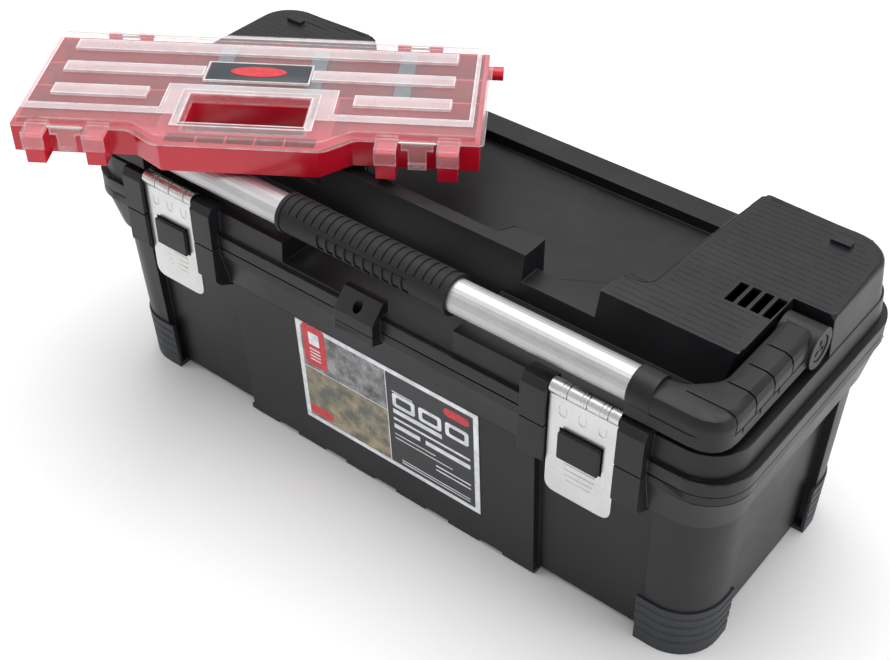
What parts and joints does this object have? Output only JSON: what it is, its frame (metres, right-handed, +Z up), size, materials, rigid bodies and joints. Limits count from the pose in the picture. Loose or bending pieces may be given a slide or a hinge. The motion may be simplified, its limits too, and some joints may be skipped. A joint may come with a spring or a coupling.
{
  "type": "toolbox with tray",
  "caption": "Long plastic toolbox with a hinged lid, metal flip latches, a swing-up tube handle, a lift-out tray and a loose parts organiser resting on the lid.",
  "frame": {"origin": "centre of the pad under the bin, on the surface that the box stands on", "axes": "+X along the length, -Y is the latch side, +Z up"},
  "size_m": [0.722, 0.3726, 0.32],
  "materials": {
    "shell": "fine spark-eroded grain, satin",
    "foot": "bluish grey-black, grooved",
    "arm": "satin",
    "rubber": "soft matt",
    "aluminium": "drawn tube, satin",
    "steel": "zinc plated, satin",
    "red": "moulded gloss",
    "tray": "moulded grey-black",
    "clear": "milky transparent",
    "divider": "moulded",
    "plate": "satin",
    "label": "printed film"
  },
  "bodies": {
    "bin": {"bin_shell": "shell", "corner_foot_front_left": "foot", "corner_foot_front_right": "foot", "corner_foot_back_left": "foot", "corner_foot_back_right": "foot", "label_panel": "label", "lid_hinge_pin_left": "steel", "lid_hinge_pin_right": "steel"},
    "lift_out_tray": {"lift_out_tray": "tray", "lift_out_tray_handle": "arm"},
    "lid": {"lid_shell": "shell", "latch_pin_left": "steel", "latch_pin_right": "steel", "handle_pivot_pin_left": "arm", "handle_pivot_pin_right": "arm"},
    "handle": {"handle_tube": "aluminium", "handle_grip": "rubber", "handle_arm_left": "arm", "handle_arm_right": "arm"},
    "latch_left": {"latch_plate_left": "steel", "latch_pad_left": "arm"},
    "latch_right": {"latch_plate_right": "steel", "latch_pad_right": "arm"},
    "organiser": {"organiser_base": "red", "divider_back_1": "divider", "divider_back_2": "divider", "divider_back_3": "divider", "divider_middle_1": "divider", "divider_middle_2": "divider", "divider_middle_3": "divider", "organiser_hinge_pin_left": "steel", "organiser_hinge_pin_right": "steel"},
    "organiser_lid": {"organiser_lid": "clear", "organiser_name_plate": "plate", "organiser_clip_pin_left": "steel", "organiser_clip_pin_right": "steel"},
    "organiser_clip_left": {"organiser_clip_left": "clear"},
    "organiser_clip_right": {"organiser_clip_right": "clear"}
  },
  "joints": [
    {"name": "lid_hinge", "type": "hinge", "parent": "bin", "child": "lid", "pos_m": [0, 0.143, 0.206], "axis": [-1, 0, 0], "range_deg": [0, 100]},
    {"name": "tray_lift", "type": "slide", "parent": "bin", "child": "lift_out_tray", "axis": [0, 0, 1], "range_m": [0, 0.07]},
    {"name": "handle_swing", "type": "hinge", "parent": "lid", "child": "handle", "pos_m": [0, -0.004, 0.2608], "axis": [-1, 0, 0], "range_deg": [0, 95]},
    {"name": "latch_left_flip", "type": "hinge", "parent": "lid", "child": "latch_left", "pos_m": [-0.2126, -0.137, 0.243], "axis": [-1, 0, 0], "range_deg": [0, 100]},
    {"name": "latch_right_flip", "type": "hinge", "parent": "lid", "child": "latch_right", "pos_m": [0.2126, -0.137, 0.243], "axis": [-1, 0, 0], "range_deg": [0, 100]},
    {"name": "organiser_lift", "type": "slide", "parent": "lid", "child": "organiser", "axis": [0, 0, 1], "range_m": [0, 0.25]},
    {"name": "organiser_lid_hinge", "type": "hinge", "parent": "organiser", "child": "organiser_lid", "pos_m": [-0.23257, 0.01803, 0.3076], "axis": [-0.832, -0.5548, 0], "range_deg": [0, 110]},
    {"name": "organiser_clip_left_flip", "type": "hinge", "parent": "organiser_lid", "child": "organiser_clip_left", "pos_m": [-0.26166, -0.19609, 0.3124], "axis": [-0.832, -0.5548, 0], "range_deg": [0, 90]},
    {"name": "organiser_clip_right_flip", "type": "hinge", "parent": "organiser_lid", "child": "organiser_clip_right", "pos_m": [-0.02372, -0.0374, 0.3124], "axis": [-0.832, -0.5548, 0], "range_deg": [0, 90]}
  ],
  "couplings": [
    {"joint": "organiser_lift", "follows": "handle_swing", "m_per_rad": 0.135},
    {"joint": "tray_lift", "follows": "lid_hinge", "m_per_rad": 0.04}
  ]
}
